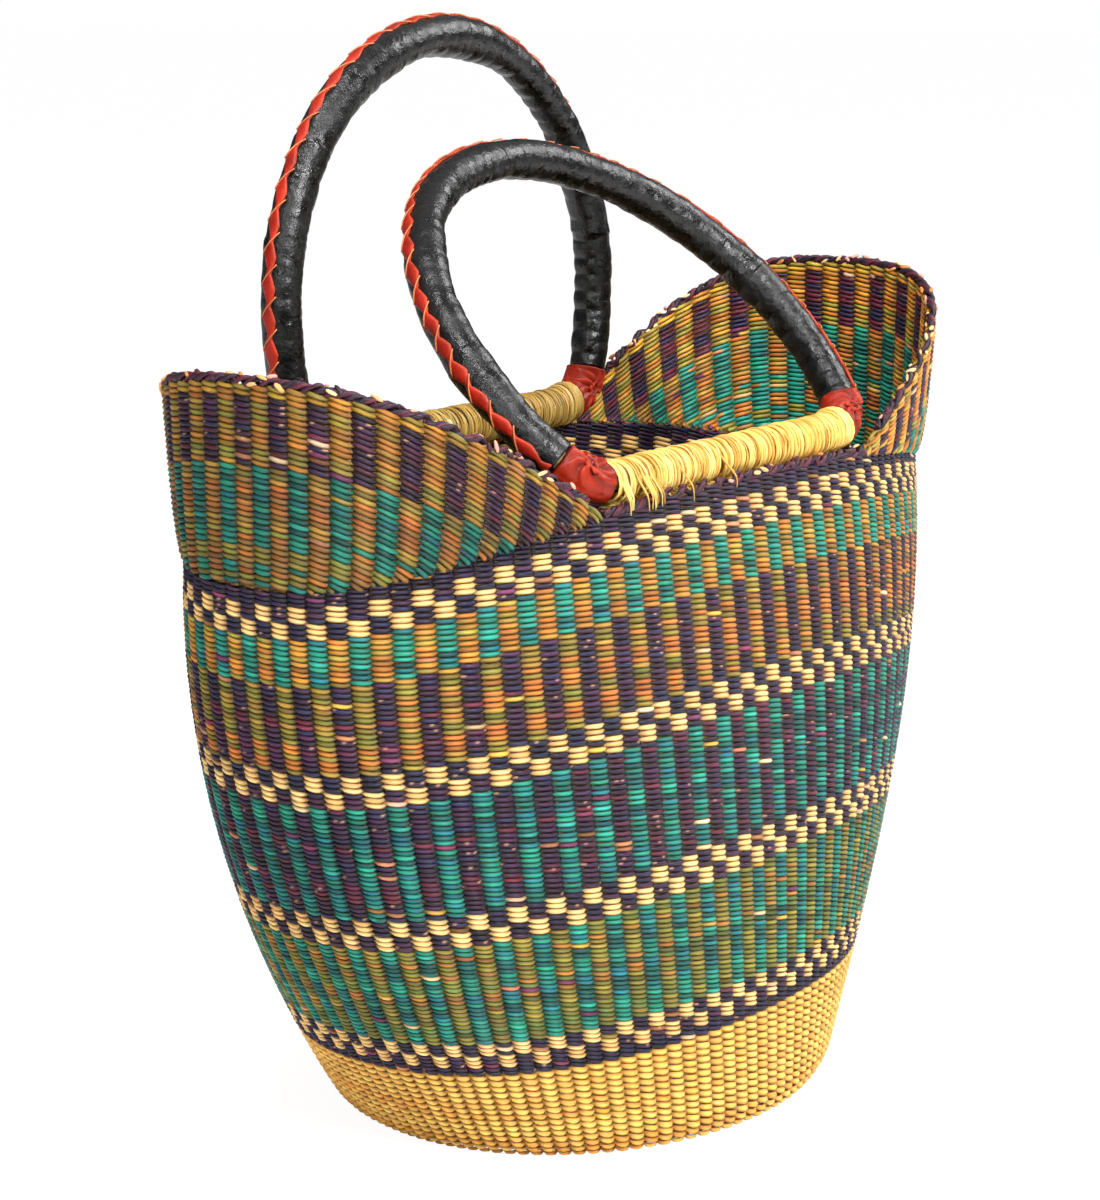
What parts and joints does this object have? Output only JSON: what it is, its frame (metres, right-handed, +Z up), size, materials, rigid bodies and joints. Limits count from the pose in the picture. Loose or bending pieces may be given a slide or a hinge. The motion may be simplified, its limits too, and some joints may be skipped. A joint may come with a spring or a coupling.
{
  "type": "woven straw tote basket",
  "caption": "Woven straw tote basket with raised wing ends, an oval base and a pair of tilting leather covered hoop handles tied to the low sides of the rim.",
  "frame": {"origin": "centre of the underside of the base, on the surface that the basket stands on", "axes": "+Z up, +X towards the higher right wing, along both handle bars, +Y from the front handle towards the back handle"},
  "size_m": [0.4406, 0.212, 0.4695],
  "materials": {
    "natural_straw": "woven or wound undyed straw, satin",
    "check_straw": "cream and dark purple straw woven in small checks",
    "teal_olive_straw": "teal and olive straw woven in upright stripes",
    "teal_purple_straw": "teal and purple straw woven in upright stripes",
    "olive_purple_straw": "olive, orange and purple straw woven in upright stripes",
    "teal_orange_straw": "teal and orange straw woven in upright stripes",
    "dark_straw": "dark purple dyed straw, twisted",
    "wing_straw": "orange, olive, purple and teal straw woven in upright stripes",
    "core_grass": "bundle of dry grass stems",
    "black_leather": "creased black leather with a soft shine",
    "red_leather": "red dyed leather with a soft shine"
  },
  "bodies": {
    "basket": {"base_disc": "natural_straw", "foot_band": "natural_straw", "lower_check_band": "check_straw", "teal_olive_band": "teal_olive_straw", "second_check_band": "check_straw", "teal_purple_band": "teal_purple_straw", "third_check_band": "check_straw", "olive_purple_band": "olive_purple_straw", "teal_orange_band": "teal_orange_straw", "top_check_band": "check_straw", "dark_rim_band": "dark_straw", "left_wing": "wing_straw", "right_wing": "wing_straw", "left_wing_braid": "dark_straw", "right_wing_braid": "dark_straw", "front_rim_braid": "dark_straw", "back_rim_braid": "dark_straw", "front_bar_tie_1": "natural_straw", "front_bar_tie_2": "natural_straw", "front_bar_tie_3": "natural_straw", "front_bar_tie_4": "natural_straw", "back_bar_tie_1": "natural_straw", "back_bar_tie_2": "natural_straw", "back_bar_tie_3": "natural_straw", "back_bar_tie_4": "natural_straw"},
    "front_handle": {"front_hoop_core": "core_grass", "front_bar_winding": "natural_straw", "front_leather_sleeve": "black_leather", "front_lacing_strip": "red_leather", "front_right_cuff": "red_leather", "front_right_cuff_knot": "red_leather", "front_left_cuff": "red_leather", "front_left_cuff_knot": "red_leather"},
    "back_handle": {"back_hoop_core": "core_grass", "back_bar_winding": "natural_straw", "back_leather_sleeve": "black_leather", "back_lacing_strip": "red_leather", "back_right_cuff": "red_leather", "back_right_cuff_knot": "red_leather", "back_left_cuff": "red_leather", "back_left_cuff_knot": "red_leather"}
  },
  "joints": [
    {"name": "front_handle_tilt", "type": "hinge", "parent": "basket", "child": "front_handle", "pos_m": [0, -0.074, 0.287], "axis": [1, 0, 0], "range_deg": [-4, 72]},
    {"name": "back_handle_tilt", "type": "hinge", "parent": "basket", "child": "back_handle", "pos_m": [0, 0.074, 0.287], "axis": [1, 0, 0], "range_deg": [-26, 15]}
  ]
}
